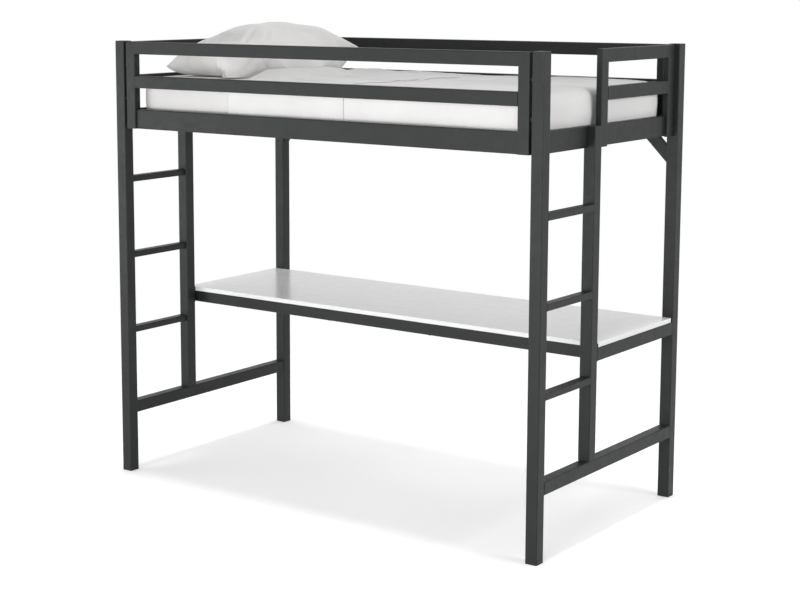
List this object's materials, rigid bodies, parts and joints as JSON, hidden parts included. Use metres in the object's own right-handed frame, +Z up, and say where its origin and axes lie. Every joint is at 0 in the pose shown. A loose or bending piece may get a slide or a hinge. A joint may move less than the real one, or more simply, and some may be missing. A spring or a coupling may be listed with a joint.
{
  "type": "loft bed with desk",
  "caption": "Loft bed of square steel tube: guarded bed on tall legs, ladder in each end frame, full-width white desk below, mattress and pillow.",
  "frame": {"origin": "on the floor, at the middle of the four feet", "axes": "+X along the bed to the end with the short guard and the way in, +Y from the ladder side to the back, +Z up"},
  "size_m": [2.032, 1.075, 1.8706],
  "materials": {
    "frame_paint": "charcoal powder coat, fine satin",
    "cap_plastic": "charcoal, matt",
    "fastener_steel": "blackened steel",
    "desk_lacquer": "white lacquer, semi-gloss",
    "mattress_cover": "white cotton fitted sheet",
    "bed_linen": "off-white cotton",
    "pillow_case": "off-white cotton"
  },
  "bodies": {
    "frame": {"bed_end_rail_left": "frame_paint", "bed_end_rail_right": "frame_paint", "bed_side_rail_back": "frame_paint", "bed_side_rail_front": "frame_paint", "centre_beam": "frame_paint", "corner_brace_left": "frame_paint", "corner_brace_right": "frame_paint", "desk_bearer_left": "frame_paint", "desk_bearer_right": "frame_paint", "desk_end_rail_left": "frame_paint", "desk_end_rail_right": "frame_paint", "desk_front_rail": "frame_paint", "desk_rear_rail": "frame_paint", "desk_screws": "fastener_steel", "desktop": "desk_lacquer", "end_guard_bolts": "fastener_steel", "end_guard_left_mid_rail": "frame_paint", "end_guard_left_post_back": "frame_paint", "end_guard_left_post_front": "frame_paint", "end_guard_left_top_rail": "frame_paint", "end_guard_right_mid_rail": "frame_paint", "end_guard_right_post_back": "frame_paint", "end_guard_right_post_front": "frame_paint", "end_guard_right_top_rail": "frame_paint", "floor_rail_left": "frame_paint", "floor_rail_right": "frame_paint", "foot_glides": "cap_plastic", "guard_mid_rail_back": "frame_paint", "guard_mid_rail_front": "frame_paint", "guard_post_back_left": "frame_paint", "guard_post_back_right": "frame_paint", "guard_post_front_left": "frame_paint", "guard_post_front_right": "frame_paint", "guard_top_rail_back": "frame_paint", "guard_top_rail_front": "frame_paint", "ladder_post_left": "frame_paint", "ladder_post_right": "frame_paint", "leg_back_left": "frame_paint", "leg_back_right": "frame_paint", "leg_caps": "cap_plastic", "leg_front_left": "frame_paint", "leg_front_right": "frame_paint", "panel_bolts": "fastener_steel", "panel_spacers": "fastener_steel", "plate_bolts": "fastener_steel", "rung_1_left": "frame_paint", "rung_1_right": "frame_paint", "rung_2_left": "frame_paint", "rung_2_right": "frame_paint", "rung_3_left": "frame_paint", "rung_3_right": "frame_paint", "slat_ledge_back": "frame_paint", "slat_ledge_front": "frame_paint", "slats": "frame_paint", "tube_plugs": "cap_plastic", "weld_nuts": "fastener_steel"},
    "bedding": {"mattress": "mattress_cover", "top_sheet": "bed_linen"},
    "headrest": {"pillow": "pillow_case"}
  },
  "joints": [
    {"name": "mattress_lift", "type": "slide", "parent": "frame", "child": "bedding", "axis": [0, 0, 1], "range_m": [0, 0.35]},
    {"name": "pillow_lift", "type": "slide", "parent": "bedding", "child": "headrest", "axis": [0, 0, 1], "range_m": [0, 0.3]}
  ]
}
